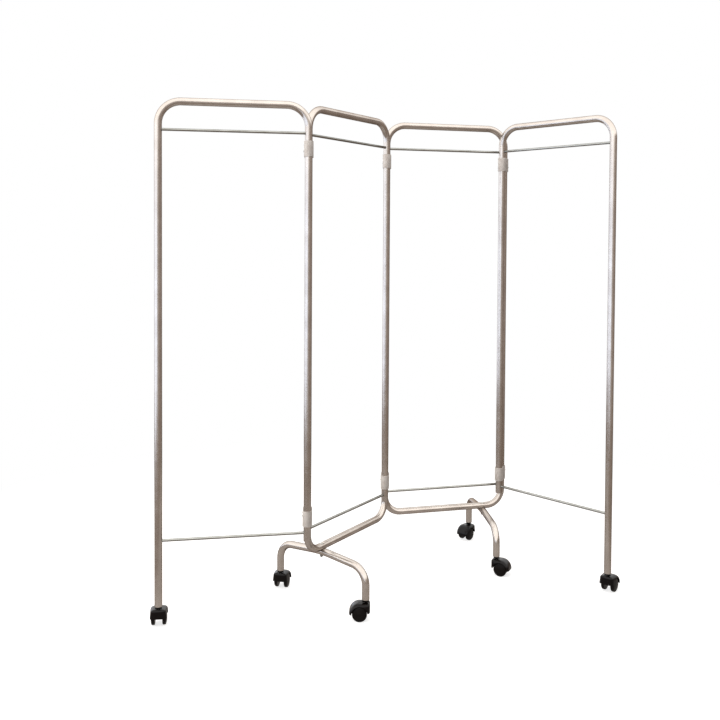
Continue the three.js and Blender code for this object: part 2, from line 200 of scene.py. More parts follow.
def new_material(name, **sockets):
    """A material with one Principled shader whose constant sockets are set on it directly."""
    material = bpy.data.materials.new(name)
    material.use_nodes = True
    shader = material.node_tree.nodes["Principled BSDF"]
    for socket, value in sockets.items():
        shader.inputs[socket.replace("_", " ")].default_value = value
    return material, material.node_tree, shader


def mottled(tree, shader, place, size, light, dark, shares=(0.0, 1.0)):
    """Clouds of the light and dark colour at a real size, mixed in within two shares."""
    clouds = add_node(tree, "ShaderNodeTexNoise", {
        "Vector": place, "Scale": 1 / size, "Detail": 4.0, "Roughness": 0.55,
    })
    share = add_node(tree, "ShaderNodeMapRange", {
        "Value": clouds.outputs[0], "From Min": 0.35, "From Max": 0.65,
        "To Min": shares[0], "To Max": shares[1],
    })
    mix = add_node(tree, "ShaderNodeMix", {
        0: share.outputs[0], COLOUR_A: srgb(light), COLOUR_B: srgb(dark),
    }, data_type="RGBA")
    tree.links.new(mix.outputs[MIXED_COLOUR], shader.inputs["Base Color"])


def uneven(tree, shader, place, size, low, high):
    """Roughness that wanders between two values."""
    noise = add_node(tree, "ShaderNodeTexNoise", {
        "Vector": place, "Scale": 1 / size, "Detail": 3.0,
    })
    span = add_node(tree, "ShaderNodeMapRange", {
        "Value": noise.outputs[0], "From Min": 0.3, "From Max": 0.7,
        "To Min": low, "To Max": high,
    })
    tree.links.new(span.outputs[0], shader.inputs["Roughness"])


def grained(tree, shader, place, size, height):
    """A bump of noise with the given grain size and height."""
    noise = add_node(tree, "ShaderNodeTexNoise", {
        "Vector": place, "Scale": 1 / size, "Detail": 3.0, "Roughness": 0.5,
    })
    bump = add_node(tree, "ShaderNodeBump", {
        "Height": noise.outputs[0], "Distance": height, "Strength": 1.0,
    })
    tree.links.new(bump.outputs[0], shader.inputs["Normal"])


def finish(name, clouds, gloss, grain, **sockets):
    """A material with clouds of two colours, a wandering roughness and a grain."""
    material, tree, shader = new_material(name, **sockets)
    place = add_node(tree, "ShaderNodeTexCoord").outputs["Object"]
    mottled(tree, shader, place, **clouds)
    uneven(tree, shader, place, **gloss)
    grained(tree, shader, place, **grain)
    return material


# The real grains are half a millimetre or finer, and are drawn coarser so that they show
def silver_lacquered_steel():
    """Steel tube sprayed with a silver lacquer: metal flake gives soft broad highlights."""
    return finish(
        "silver_lacquered_steel",
        clouds={"size": 60 * MM, "light": "#b5aea7", "dark": "#a59d96", "shares": (0.1, 0.9)},
        gloss={"size": 25 * MM, "low": 0.17, "high": 0.24},
        grain={"size": 1.5 * MM, "height": 0.0015 * MM},
        Metallic=0.85, Specular_Tint=srgb("#7d6d63"),
    )


def drawn_chrome_rod():
    """Plated drawn rod: a mirror, blurred a little by what drawing left under the plating."""
    return finish(
        "drawn_chrome_rod",
        clouds={"size": 40 * MM, "light": "#93938f", "dark": "#84847f"},
        gloss={"size": 12 * MM, "low": 0.1, "high": 0.2},
        grain={"size": 0.8 * MM, "height": 0.003 * MM},
        Metallic=1.0, Specular_Tint=srgb("#8a8886"),
    )


def moulded_grey_nylon():
    """Injection-moulded sleeve: matt, a little uneven, with a fine spark-eroded texture."""
    return finish(
        "moulded_grey_nylon",
        clouds={"size": 14 * MM, "light": "#bfb7b0", "dark": "#b2a8a0"},
        gloss={"size": 6 * MM, "low": 0.42, "high": 0.55},
        grain={"size": 0.7 * MM, "height": 0.03 * MM},
        IOR=1.5, Specular_IOR_Level=0.4,
    )


def glossy_black_nylon():
    """Moulded caster hood: deep black with a soft gloss that wanders a little."""
    return finish(
        "glossy_black_nylon",
        clouds={"size": 9 * MM, "light": "#050202", "dark": "#090504"},
        gloss={"size": 5 * MM, "low": 0.16, "high": 0.24},
        grain={"size": 0.9 * MM, "height": 0.02 * MM},
        IOR=1.5, Specular_IOR_Level=0.14,
    )


def black_wheel_nylon():
    """Moulded wheel: black, less glossy than the hood, in clouds of fresh and rubbed nylon."""
    return finish(
        "black_wheel_nylon",
        clouds={"size": 7 * MM, "light": "#060302", "dark": "#0b0705"},
        gloss={"size": 4 * MM, "low": 0.3, "high": 0.45},
        grain={"size": 1.1 * MM, "height": 0.03 * MM},
        IOR=1.5, Specular_IOR_Level=0.12,
    )


def zinc_plated_steel():
    """Passivated zinc on turned steel: pale grey with a faint cloudy sheen."""
    return finish(
        "zinc_plated_steel",
        clouds={"size": 5 * MM, "light": "#a3a29d", "dark": "#84827c"},
        gloss={"size": 3 * MM, "low": 0.25, "high": 0.4},
        grain={"size": 0.6 * MM, "height": 0.01 * MM},
        Metallic=1.0,
    )


def black_insert_plastic():
    """Moulded insert in the tube end: matt black."""
    return finish(
        "black_insert_plastic",
        clouds={"size": 6 * MM, "light": "#0a0908", "dark": "#11100f"},
        gloss={"size": 4 * MM, "low": 0.4, "high": 0.55},
        grain={"size": 0.7 * MM, "height": 0.02 * MM},
        IOR=1.49, Specular_IOR_Level=0.14,
    )


FINISHES = {
    "silver_paint": silver_lacquered_steel(),
    "bright_chrome": drawn_chrome_rod(),
    "grey_plastic": moulded_grey_nylon(),
    "black_nylon": glossy_black_nylon(),
    "black_tread": black_wheel_nylon(),
    "zinc_steel": zinc_plated_steel(),
    "dark_plastic": black_insert_plastic(),
}


# Places and turns
def shift(x=0, y=0, z=0):
    return Matrix.Translation((x, y, z))


def turn(degrees, axis):
    return Matrix.Rotation(math.radians(degrees), 4, axis)


def along(heading, length):
    return Vector((math.cos(math.radians(heading)), math.sin(math.radians(heading)), 0)) * length


def placing(spot, heading):
    return Matrix.Translation(spot) @ turn(heading, "Z")


def at(x, z):
    return (x, 0, z)


ON_AXLE = Matrix.Translation(AXLE_SPOT) @ turn(90, "X")


# Meshes
def new_object(name, data):
    obj = bpy.data.objects.new(name, data)
    bpy.context.scene.collection.objects.link(obj)
    return obj


def from_faces(name, points, faces, edges=()):
    mesh = bpy.data.meshes.new(name)
    mesh.from_pydata([tuple(p) for p in points], list(edges), faces)
    return new_object(name, mesh)


def evaluated_mesh(obj):
    """A plain mesh of the object with its modifiers applied."""
    bpy.context.view_layer.update()
    graph = bpy.context.evaluated_depsgraph_get()
    return bpy.data.meshes.new_from_object(obj.evaluated_get(graph))


def settled(obj):
    """Applies the modifiers in place."""
    mesh = evaluated_mesh(obj)
    obj.modifiers.clear()
    obj.data = mesh
    return obj


def tighten(mesh):
    """Merges doubled points and turns the faces out."""
    shape = bmesh.new()
    shape.from_mesh(mesh)
    bmesh.ops.remove_doubles(shape, verts=shape.verts, dist=MERGE_DISTANCE)
    bmesh.ops.recalc_face_normals(shape, faces=shape.faces)
    shape.to_mesh(mesh)
    shape.free()


def finished(obj, name, material, sharp):
    """A tightened mesh object, shaded smooth between edges sharper than the given degrees."""
    mesh = evaluated_mesh(obj)
    bpy.data.objects.remove(obj)
    tighten(mesh)
    mesh.name = name
    mesh.materials.clear()
    mesh.materials.append(material)
    for face in mesh.polygons:
        face.use_smooth = True
        face.material_index = 0
    mesh.set_sharp_from_angle(angle=math.radians(sharp))
    return new_object(name, mesh)


def lathe(name, profile, sides):
    """Turns (radius, height) points about Z. A profile that starts off the axis becomes a ring."""
    points, faces, rings = [], [], []
    for radius, height in profile:
        if radius == 0:
            rings.append([len(points)] * sides)
            points.append((0, 0, height))
            continue
        rings.append(list(range(len(points), len(points) + sides)))
        for k in range(sides):
            angle = math.tau * k / sides
            points.append((radius * math.cos(angle), radius * math.sin(angle), height))
    pairs = list(zip(rings, rings[1:]))
    if profile[0][0] > 0:
        pairs.append((rings[-1], rings[0]))
    for low, high in pairs:
        for k in range(sides):
            after = (k + 1) % sides
            corners = dict.fromkeys((low[k], low[after], high[after], high[k]))
            if len(corners) > 2:
                faces.append(list(corners))
    return from_faces(name, points, faces)


def arc(centre, radius, start, end, steps):
    """Points of an arc in a profile or an outline, angles in degrees."""
    angles = [math.radians(start + (end - start) * k / steps) for k in range(steps + 1)]
    return [(centre[0] + radius * math.cos(a), centre[1] + radius * math.sin(a)) for a in angles]


def moved(obj, matrix):
    obj.data.transform(matrix)
    obj.data.update()
    return obj


def copy_of(obj, matrix):
    return moved(new_object("copy", obj.data.copy()), matrix)


def carve(obj, tool, operation="DIFFERENCE"):
    """Cuts or joins with another object, which is used up."""
    modifier = obj.modifiers.new("carve", "BOOLEAN")
    modifier.operation = operation
    modifier.solver = "EXACT"
    modifier.object = tool
    settled(obj)
    bpy.data.objects.remove(tool)
    return obj


def joined(obj, other):
    """Adds another object's mesh as a loose part, which is used up."""
    shape = bmesh.new()
    for part in (obj, other):
        shape.from_mesh(part.data)
    shape.to_mesh(obj.data)
    shape.free()
    bpy.data.objects.remove(other)
    return obj


def box_block(low, high):
    points = [(x, y, z) for x in (low[0], high[0]) for y in (low[1], high[1])
              for z in (low[2], high[2])]
    faces = [(0, 1, 3, 2), (4, 6, 7, 5), (0, 4, 5, 1), (2, 3, 7, 6), (0, 2, 6, 4), (1, 5, 7, 3)]
    return from_faces("block", points, faces)


def pin(name, radius, bottom, top, sides):
    return lathe(name, [(0, bottom), (radius, bottom), (radius, top), (0, top)], sides)


def rounded_edges(obj, width, segments, degrees):
    """Rounds the edges that are sharper than the given degrees."""
    bevel = obj.modifiers.new("rounded edges", "BEVEL")
    bevel.width = width
    bevel.segments = segments
    bevel.limit_method = "ANGLE"
    bevel.angle_limit = math.radians(degrees)
    return settled(obj)


# Geometry node trees
def new_tree(name, inputs):
    """A geometry tree with inputs of the given names and kinds. Returns it with their sockets."""
    tree = bpy.data.node_groups.new(name, "GeometryNodeTree")
    for label, kind in inputs.items():
        tree.interface.new_socket(label, in_out="INPUT", socket_type=f"NodeSocket{kind}")
    tree.interface.new_socket("Made", in_out="OUTPUT", socket_type="NodeSocketGeometry")
    return tree, add_node(tree, "NodeGroupInput").outputs


def close_tree(tree, geometry, material):
    """Ends a tree in real geometry that wears the material."""
    real = add_node(tree, "GeometryNodeRealizeInstances", {0: geometry})
    dressed = add_node(tree, "GeometryNodeSetMaterial", {
        "Geometry": real.outputs[0], "Material": material,
    })
    add_node(tree, "NodeGroupOutput", {"Made": dressed.outputs[0]})
    return tree


def apply_tree(obj, tree, values):
    """Runs a node tree on an object with named inputs and leaves the plain mesh."""
    modifier = obj.modifiers.new(tree.name, "NODES")
    modifier.node_group = tree
    for item in tree.interface.items_tree:
        if item.item_type == "SOCKET" and item.in_out == "INPUT" and item.name in values:
            modifier[item.identifier] = values[item.name]
    return settled(obj)


def bent_bar_tree():
    """Each point of a line carries the radius of its bend, and the line gets a round section."""
    tree, given = new_tree("bent bar", {
        "Line": "Geometry", "Bar radius": "Float", "Sides": "Int", "Steps in a bend": "Int",
        "Closed ends": "Bool", "Finish": "Material",
    })
    line = add_node(tree, "GeometryNodeMeshToCurve", {"Mesh": given["Line"]})
    bend = add_node(tree, "GeometryNodeInputNamedAttribute", {"Name": "bend"},
                    data_type="FLOAT")
    bends = add_node(tree, "GeometryNodeFilletCurve", {
        "Curve": line.outputs[0], "Count": given["Steps in a bend"],
        "Radius": bend.outputs[0], "Limit Radius": False,
    }, mode="POLY")
    section = add_node(tree, "GeometryNodeCurvePrimitiveCircle", {
        "Resolution": given["Sides"], "Radius": given["Bar radius"],
    })
    bar = add_node(tree, "GeometryNodeCurveToMesh", {
        "Curve": bends.outputs[0], "Profile Curve": section.outputs[0],
        "Fill Caps": given["Closed ends"],
    })
    return close_tree(tree, bar.outputs[0], given["Finish"])


def screws_tree():
    """Sets one screw on each point, its head to the side that it faces."""
    tree, given = new_tree("screws on points", {
        "Points": "Geometry", "Screw": "Object", "Facing": "Vector", "Finish": "Material",
    })
    screw = add_node(tree, "GeometryNodeObjectInfo", {"Object": given["Screw"]})
    facing = add_node(tree, "FunctionNodeAlignRotationToVector", {"Vector": given["Facing"]},
                      axis="Z")
    spread = add_node(tree, "GeometryNodeInstanceOnPoints", {
        "Points": given["Points"], "Instance": screw.outputs["Geometry"],
        "Rotation": facing.outputs[0],
    })
    return close_tree(tree, spread.outputs[0], given["Finish"])


BENT_BAR = bent_bar_tree()
SCREWS = screws_tree()


# Tubes
def bent_bar(corners, bends, radius, closed):
    """A round bar through the corner points, with one bend radius for each inner corner."""
    line = from_faces("tube", corners, [], [(k, k + 1) for k in range(len(corners) - 1)])
    radii = line.data.attributes.new("bend", "FLOAT", "POINT")
    radii.data.foreach_set("value", [0, *bends, 0])
    apply_tree(line, BENT_BAR, {
        "Bar radius": radius, "Sides": BAR_SIDES, "Steps in a bend": BEND_STEPS,
        "Closed ends": closed, "Finish": FINISHES["silver_paint"],
    })
    tighten(line.data)
    return line


def bent_tube(corners, bends):
    """A hollow tube through the corner points, both ends open."""
    tube = bent_bar(corners, bends, TUBE_RADIUS, False)
    wall = tube.modifiers.new("wall", "SOLIDIFY")
    wall.thickness = TUBE_WALL
    wall.offset = -1
    wall.use_even_offset = True
    return settled(tube)


def drilled(tube, height):
    """Drills the two holes that a rod enters, each through the inner wall of its leg."""
    for leg_x, side in ((0, 1), (LEG_SPACING, -1)):
        hole = pin("hole", ROD_HOLE_RADIUS, 0, ROD_HOLE_DEPTH, sides=32)
        carve(tube, moved(hole, shift(leg_x, 0, height) @ turn(90 * side, "Y")))


def upper_frame(first_end, last_end, rod_levels):
    """An inverted U, each leg cut at its own height, drilled for its rods."""
    top = HEIGHT - TUBE_RADIUS
    tube = bent_tube([
        at(0, first_end), at(0, top), at(LEG_SPACING, top), at(LEG_SPACING, last_end),
    ], [TOP_BEND] * 2)
    for level in rod_levels:
        drilled(tube, ROD_HEIGHTS[level])
    return tube


def pressed_bar(radius, wall, end, bolt_x, arch_turn):
    """The lower U as a full bar, pressed in over the arch and dished under the bolt's head."""
    bar = bent_bar([
        at(0, end), at(0, LOWER_BAR), at(LEG_SPACING, LOWER_BAR), at(LEG_SPACING, end),
    ], [LOWER_BEND] * 2, radius, True)
    saddle = pin("saddle", TUBE_RADIUS + SEAT_GAP + wall, -SADDLE_REACH, SADDLE_REACH, sides=64)
    carve(bar, moved(saddle, shift(bolt_x, 0, ARCH_CROWN) @ turn(arch_turn, "Z") @ turn(90, "X")))
    floor = LOWER_BAR + TUBE_RADIUS - DISH_DEPTH - wall
    mouth = DISH_RADIUS + wall
    dish = lathe("dish", [
        (0, floor), (mouth, floor), (mouth + DISH_FLARE, floor + DISH_RISE), (0, floor + DISH_RISE),
    ], sides=48)
    return carve(bar, moved(dish, shift(bolt_x) @ turn(DISH_TURN, "Z")))


def lower_frame(bolt_x, arch_turn):
    """The lower U with its saddle, its swaged spigots and the bolt's hole."""
    end = HINGE_HEIGHTS["bottom"]
    tube = pressed_bar(TUBE_RADIUS, 0, end, bolt_x, arch_turn)
    rounded_edges(tube, PRESSED_EDGE, segments=3, degrees=28)
    carve(tube, pressed_bar(TUBE_RADIUS - TUBE_WALL, TUBE_WALL, end + OVERRUN, bolt_x, arch_turn))
    drilled(tube, ROD_HEIGHTS["bottom"])
    inner, wall = SPIGOT_RADIUS - TUBE_WALL, TUBE_RADIUS - TUBE_WALL / 2
    for leg_x in (0, LEG_SPACING):
        spigot = lathe("spigot", [
            (inner, end - SWAGE_LENGTH), (wall, end - SWAGE_LENGTH), (wall, end - SWAGE_EDGE),
            (SPIGOT_RADIUS, end), (SPIGOT_RADIUS, end + SPIGOT_LENGTH),
            (inner, end + SPIGOT_LENGTH),
        ], sides=48)
        carve(tube, moved(spigot, shift(leg_x)), "UNION")
    hole = pin("bolt hole", BOLT_HOLE_RADIUS, *BAR_HOLE_SPAN, sides=40)
    return carve(tube, moved(hole, shift(bolt_x)))


def foot_arch():
    """An arch whose halves fall from a gentle crown, its legs upright, holed for the bolt."""
    half = ARCH_SPAN / 2
    slope = math.atan2(ARCH_FALL, half)
    apex = ARCH_CROWN + ARCH_CROWN_BEND * (1 / math.cos(slope) - 1)
    low = apex - ARCH_FALL
    arch = bent_tube([
        at(-half, TUBE_END), at(-half, low), at(0, apex), at(half, low), at(half, TUBE_END),
    ], [ARCH_BEND, ARCH_CROWN_BEND, ARCH_BEND])
    return carve(arch, pin("bolt hole", BOLT_HOLE_RADIUS, *ARCH_HOLE_SPAN, sides=40))


def rod(level):
    """A drawn rod with a small chamfer on each end, both ends inside the legs."""
    length = LEG_SPACING - 2 * TUBE_RADIUS + 2 * ROD_INSERTION
    shape = lathe("rod", [
        (0, 0), (ROD_RADIUS - ROD_CHAMFER, 0), (ROD_RADIUS, ROD_CHAMFER),
        (ROD_RADIUS, length - ROD_CHAMFER), (ROD_RADIUS - ROD_CHAMFER, length), (0, length),
    ], sides=32)
    start = (LEG_SPACING - length) / 2
    return moved(shape, shift(start, 0, ROD_HEIGHTS[level]) @ turn(90, "Y"))


# Hinges
def sleeve_outline():
    """Points of the figure eight, counterclockwise from the right barrel's lower fillet."""
    half = HINGE_SPACING / 2
    rise = WEB_WIDTH / 2 + WEB_FILLET
    run = math.sqrt((BARREL_RADIUS + WEB_FILLET) ** 2 - rise ** 2)
    meeting = math.degrees(math.atan2(rise, -run))
    start = math.degrees(math.atan2(-rise, run))
    barrel = arc((half, 0), BARREL_RADIUS, -meeting, meeting, 40)
    fillet = arc((half - run, rise), WEB_FILLET, start, -90, 6)[1:]
    other_fillet = [(-x, y) for x, y in reversed(fillet)]
    upper = barrel + fillet + other_fillet
    return upper + [(-x, -y) for x, y in upper]


def hinge_sleeve():
    """One moulding with a barrel for each leg, its ends rounded and its bores' mouths opened."""
    outline = sleeve_outline()
    count = len(outline)
    low, high = -BARREL_LENGTH / 2, BARREL_LENGTH / 2
    points = [(x, y, low) for x, y in outline] + [(x, y, high) for x, y in outline]
    faces = [(k, (k + 1) % count, count + (k + 1) % count, count + k) for k in range(count)]
    faces += [tuple(reversed(range(count))), tuple(range(count, 2 * count))]
    body = rounded_edges(from_faces("sleeve", points, faces), SLEEVE_EDGE, segments=3, degrees=60)
    mouth = BORE_RADIUS + BORE_MOUTH + OVERRUN
    for side in (-1, 1):
        cutter = lathe("bore", [
            (0, low - OVERRUN), (mouth, low - OVERRUN), (BORE_RADIUS, low + BORE_MOUTH),
            (BORE_RADIUS, high - BORE_MOUTH), (mouth, high + OVERRUN), (0, high + OVERRUN),
        ], sides=64)
        carve(body, moved(cutter, shift(side * HINGE_SPACING / 2)))
    return body


def pan_head():
    """A small pan head with a cross recess, along +Z."""
    side, rounding, crown = 0.5 * MM, 1 * MM, 1.55 * MM
    slot_half_length, slot_half_width = 1.6 * MM, 0.3 * MM
    slot_floor, slot_top = 0.8 * MM, 3 * MM
    head = lathe("pan head", [
        (0, -OVERRUN), (SCREW_RADIUS, -OVERRUN),
        *arc((SCREW_RADIUS - rounding, side), rounding, 0, 90, 5), (0, crown),
    ], sides=28)
    for angle in (0, 90):
        slot = box_block((-slot_half_length, -slot_half_width, slot_floor),
                         (slot_half_length, slot_half_width, slot_top))
        carve(head, moved(slot, turn(angle, "Z")))
    return head


PAN_HEAD = pan_head()


def hinge_screws(matrix):
    """One retaining screw in each barrel of both sleeves of a hinge line."""
    spots = [
        (side * HINGE_SPACING / 2, BARREL_RADIUS - SCREW_SINK, HINGE_HEIGHTS[level] + rise)
        for level, rise in SCREW_RISE.items() for side in (-1, 1)
    ]
    screws = apply_tree(from_faces("screws", spots, []), SCREWS, {
        "Screw": PAN_HEAD, "Facing": (0, 1, 0), "Finish": FINISHES["zinc_steel"],
    })
    return moved(screws, matrix)


# Foot bolt with a domed head, a threaded end and a nut under the arch
def hex_nut(bottom, top):
    """A turned blank with chamfered ends, its side then pressed flat to a hexagon."""
    corner = NUT_ACROSS_CORNERS / 2
    face, bore = corner * NUT_FACE_SHARE, BOLT_RADIUS + NUT_PLAY
    nut = lathe("nut", [
        (bore, bottom), (face, bottom), (corner, bottom + NUT_CHAMFER),
        (corner, top - NUT_CHAMFER), (face, top), (bore, top),
    ], sides=96)
    for vertex in nut.data.vertices:
        from_flat = math.atan2(vertex.co.y, vertex.co.x) % (math.pi / 3) - math.pi / 6
        flat = corner * math.cos(math.pi / 6) / math.cos(from_flat)
        vertex.co.xy *= min(1, flat / vertex.co.xy.length)
    return nut


def foot_bolt():
    """The bolt seats in the bar's dish, and its nut under the arch."""
    seat = LOWER_BAR + TUBE_RADIUS - DISH_DEPTH + SEAT_GAP
    crown = seat + BOLT_HEAD_HEIGHT
    nut_seat = ARCH_CROWN - TUBE_RADIUS - SEAT_GAP
    low = nut_seat - BOLT_TAIL
    profile = [(0, low), (BOLT_RADIUS * THREAD_TIP_SHARE, low)]
    for k in range(THREAD_TURNS):
        profile += [(BOLT_RADIUS * THREAD_ROOT_SHARE, low + THREAD_PITCH * (k + 0.2)),
                    (BOLT_RADIUS, low + THREAD_PITCH * (k + 0.7))]
    profile += [(BOLT_RADIUS, seat), (BOLT_HEAD_RADIUS, seat),
                (BOLT_HEAD_RADIUS, seat + BOLT_HEAD_EDGE)]
    for k in range(1, DOME_STEPS):
        angle = math.radians(90 * k / DOME_STEPS)
        rise = (crown - seat - BOLT_HEAD_EDGE) * math.sin(angle)
        profile.append((BOLT_HEAD_RADIUS * math.cos(angle), seat + BOLT_HEAD_EDGE + rise))
    profile.append((0, crown))
    bolt = lathe("bolt", profile, sides=40)
    return joined(bolt, hex_nut(nut_seat - NUT_HEIGHT, nut_seat))


# Casters
def hood_round(inset):
    """The hood's round outline drawn in by an inset: a flat crown and elliptic shoulders."""
    crown = HOOD_RADIUS - inset
    edge = max(HOOD_EDGE_RADIUS - inset, HOOD_EDGE)
    side = HOOD_HALF_WIDTH - HOOD_DRAFT_SHARE * inset
    half = []
    for k in range(SHOULDER_STEPS + 1):
        angle = math.radians(90 * k / SHOULDER_STEPS)
        half.append((edge + (crown - edge) * math.cos(angle),
                     HOOD_CROWN_HALF_WIDTH + (side - HOOD_CROWN_HALF_WIDTH) * math.sin(angle)))
    profile = [(0, -side)] + [(r, -w) for r, w in reversed(half)]
    return moved(lathe("hood", profile + half + [(0, side)], sides=96), ON_AXLE)


def hood_block():
    """The hood before any cut: round over the wheels, its top corner drawn out to the stem."""
    inset = HOOD_RADIUS - HOOD_CORNER_RADIUS
    corner = moved(hood_round(inset), shift(-inset, 0, inset))
    shape = bmesh.new()
    for obj in (hood_round(0), corner):
        shape.from_mesh(obj.data)
        bpy.data.objects.remove(obj)
    hull = bmesh.ops.convex_hull(shape, input=shape.verts)
    spare = [part for part in hull["geom_interior"] + hull["geom_unused"]
             if isinstance(part, bmesh.types.BMVert)]
    bmesh.ops.delete(shape, geom=spare, context="VERTS")
    bmesh.ops.dissolve_limit(shape, angle_limit=0.001, verts=shape.verts, edges=shape.edges)
    bmesh.ops.recalc_face_normals(shape, faces=shape.faces)
    hood = from_faces("hood", [], [])
    shape.to_mesh(hood.data)
    shape.free()
    return hood


def caster_hood():
    """The hood with its wheel rooms, the web between them, a pocket and holes."""
    reach = 60 * MM
    behind = (-reach, -reach, -reach)
    hood = carve(hood_block(), box_block(behind, (2 * reach, reach, WHEEL_RADIUS)))
    for low, high in ((WEB_HALF_WIDTH, reach), (-reach, -WEB_HALF_WIDTH)):
        carve(hood, moved(pin("wheel room", WHEEL_ROOM_RADIUS, low, high, sides=96), ON_AXLE))
    web = moved(pin("web", WEB_RADIUS, -WEB_HALF_WIDTH, WEB_HALF_WIDTH, sides=64), ON_AXLE)
    carve(hood, carve(web, box_block(behind, (2 * reach, reach, WEB_LOW))), "UNION")
    for front, edge in ((WEB_FRONT, WHEEL_RADIUS + SEAT_GAP), (HOOD_FRONT, HOOD_FRONT_EDGE)):
        carve(hood, box_block(behind, (front, reach, edge)))
    carve(hood, pin("pocket", POCKET_RADIUS, POCKET_FLOOR, ABOVE_HOOD, sides=48))
    stem_low = POCKET_FLOOR - STEM_DEPTH - SEAT_GAP
    carve(hood, pin("stem hole", STEM_RADIUS + SEAT_GAP, stem_low, ABOVE_HOOD, sides=32))
    axle_hole = pin("axle hole", AXLE_HOLE_RADIUS, -AXLE_HOLE_REACH, AXLE_HOLE_REACH, sides=32)
    carve(hood, moved(axle_hole, ON_AXLE))
    return rounded_edges(hood, HOOD_EDGE, segments=2, degrees=50)


def caster_wheel(side):
    """A closed wheel: round tread, a ring groove inside the rim and a groove round the hub."""
    start, shoulder, crown = 12.2 * MM, 19.6 * MM, 26.2 * MM
    inner_edge, outer_edge = 2 * MM, 4.2 * MM
    bore, bore_end = 3.8 * MM, 20.5 * MM
    dome_radius, dome_rise = 21 * MM, 2.4 * MM
    # Radius and depth under the domed face, from the rim to the hub, in millimetres
    face_points = (
        (20.8, 0.3), (20.4, 0.7), (19.4, 0.7), (19, 0), (14, 0), (8.6, 0), (8.2, 0.35),
        (7.4, 0.35), (7, 0), (3, 0),
    )
    profile = [(0, bore_end), (bore, bore_end), (bore, start), (WHEEL_RADIUS - inner_edge, start)]
    profile += arc((WHEEL_RADIUS - inner_edge, start + inner_edge), inner_edge, -80, 0, 5)
    profile += arc((WHEEL_RADIUS - outer_edge, shoulder), outer_edge, 0, 84, 8)
    for radius, depth in face_points:
        domed = crown - dome_rise * (radius * MM / dome_radius) ** 3
        profile.append((radius * MM, domed - depth * MM))
    profile.append((0, crown))
    wheel = lathe("wheel", profile, sides=72)
    if side < 0:
        moved(wheel, Matrix.Scale(-1, 4, (0, 0, 1)))
    return moved(wheel, Matrix.Translation(AXLE_SPOT) @ turn(-90, "X"))


def caster_stem():
    """A turned stem with a collar under the tube's insert."""
    low, top = POCKET_FLOOR - STEM_DEPTH, TUBE_END + STEM_RISE
    collar_low = POCKET_FLOOR + SEAT_GAP
    collar_top = collar_low + COLLAR_HEIGHT
    return lathe("stem", [
        (0, low), (STEM_RADIUS, low), (STEM_RADIUS, collar_low), (COLLAR_EDGE_RADIUS, collar_low),
        (COLLAR_RADIUS, collar_low + COLLAR_EDGE), (COLLAR_RADIUS, collar_top - COLLAR_EDGE),
        (COLLAR_EDGE_RADIUS, collar_top), (STEM_RADIUS, collar_top),
        (STEM_RADIUS, top - 2 * STEM_CHAMFER), (STEM_RADIUS - STEM_CHAMFER, top), (0, top),
    ], sides=40)


def caster_insert():
    """A plug inside the tube, a thin rim under the tube's end and a neck below it."""
    shoulder, top = TUBE_END - SEAT_GAP, TUBE_END + INSERT_RISE
    low = shoulder - NECK_HEIGHT
    bore, neck, rim, plug = STEM_RADIUS + INSERT_PLAY, 9 * MM, 12.2 * MM, 10.4 * MM
    neck_edge, neck_taper, neck_top = 0.5 * MM, 0.6 * MM, shoulder - 3.2 * MM
    rim_slope, rim_low, rim_edge = 1.2 * MM, shoulder - 1.6 * MM, shoulder - 1.2 * MM
    return lathe("insert", [
        (bore, low), (neck - neck_edge, low), (neck, low + neck_edge),
        (neck + neck_taper, neck_top), (rim - rim_slope, rim_low), (rim, rim_edge),
        (rim, shoulder), (plug, shoulder), (plug, top), (bore, top),
    ], sides=48)


# Every piece rides on its body and, but for the screws, stands for its CAD node
def put(obj, name, slot, body, node=None, sharp=35):
    piece = finished(obj, name, FINISHES[slot], sharp)
    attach(piece, body)
    if node:
        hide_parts(node)


# Each leaf starts at its left leg, and each hinge leads from the end of a leaf to the next
insert_low, insert_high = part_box("caster_a_insert")
first_leg = (insert_low + insert_high) / 2
first_leg.z = 0
leaf_starts = {"a": first_leg}
leaf_ends = {"a": first_leg + along(LEAF_HEADINGS["a"], LEG_SPACING)}
for before, after in ("ab", "bc", "cd"):
    leaf_starts[after] = leaf_ends[before] + along(HINGE_HEADINGS[before + after], HINGE_SPACING)
    leaf_ends[after] = leaf_starts[after] + along(LEAF_HEADINGS[after], LEG_SPACING)
caster_spots = {"a": leaf_starts["a"], "d": leaf_ends["d"]}


def outer_leaf(leaf, matrix):
    """One tube whose outer leg runs down to its caster."""
    body = f"leaf_{leaf}"
    ends = (TUBE_END, INNER_LEG_END) if leaf == "a" else (INNER_LEG_END, TUBE_END)
    tube = moved(upper_frame(*ends, ("top", "bottom")), matrix)
    put(tube, f"{body}_tube", "silver_paint", body, f"{body}_frame")


def inner_leaf(leaf, matrix):
    """Two tubes that meet in the bottom hinge, with a foot arch bolted under the lower one.

    Returns the arch's matrix, with +X to the rear.
    """
    body = f"leaf_{leaf}"
    end = HINGE_HEIGHTS["bottom"] + SEAT_GAP
    upper = moved(upper_frame(end, end, ("top",)), matrix)
    put(upper, f"{body}_upper_tube", "silver_paint", body, f"{body}_upper_frame")
    bolt_x = ARCH_OFFSET if leaf == "b" else LEG_SPACING - ARCH_OFFSET
    lower = moved(lower_frame(bolt_x, ARCH_TURNS[leaf]), matrix)
    put(lower, f"{body}_lower_tube", "silver_paint", body, f"{body}_lower_frame")
    arch_matrix = placing(matrix @ Vector((bolt_x, 0, 0)),
                          LEAF_HEADINGS[leaf] + 90 + ARCH_TURNS[leaf])
    arch = moved(foot_arch(), arch_matrix)
    put(arch, f"{body}_arch_tube", "silver_paint", body, f"{body}_foot_arch")
    bolt = moved(foot_bolt(), arch_matrix)
    put(bolt, f"{body}_bolt_and_nut", "zinc_steel", body, f"{body}_foot_bolt", sharp=28)
    return arch_matrix


